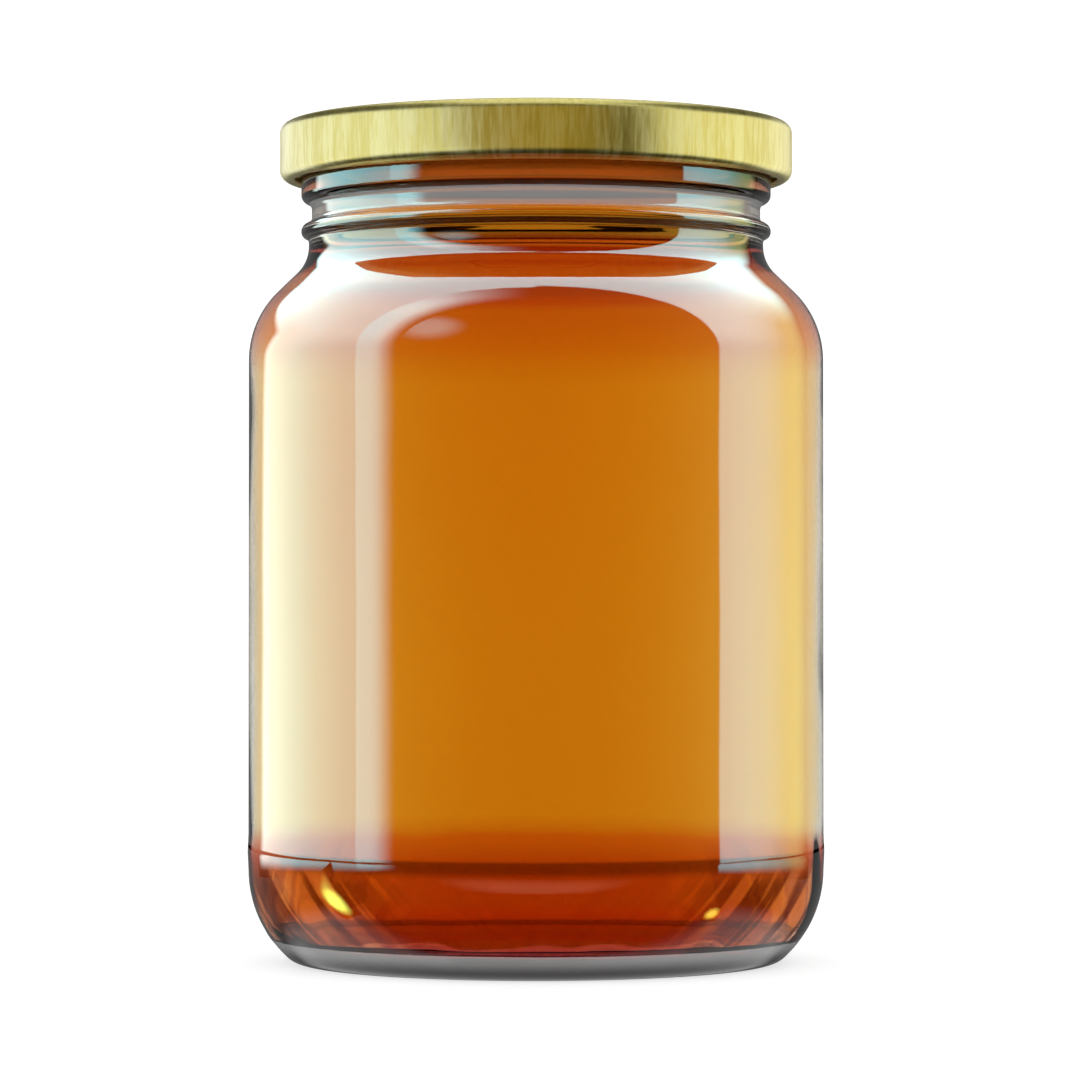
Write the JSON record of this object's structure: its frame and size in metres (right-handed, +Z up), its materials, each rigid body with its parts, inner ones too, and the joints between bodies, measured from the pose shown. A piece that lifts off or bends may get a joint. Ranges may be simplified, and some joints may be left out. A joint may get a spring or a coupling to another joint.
{
  "type": "honey jar",
  "caption": "Round clear glass jar with a rounded shoulder and heel, filled with amber honey and closed with a gold metal twist-off cap.",
  "frame": {"origin": "centre of the circle that the jar stands on", "axes": "+Z up along the axis of the jar, from the base to the cap; X and Y lie in the surface that it stands on"},
  "size_m": [0.0764, 0.0764, 0.1115],
  "materials": {
    "glass": "clear moulded container glass, polished",
    "honey": "clear amber liquid honey",
    "cap": "gold lacquer on fine brushed tinplate, satin"
  },
  "bodies": {
    "root": {"jar": "glass", "honey": "honey", "lid": "cap"}
  },
  "joints": []
}
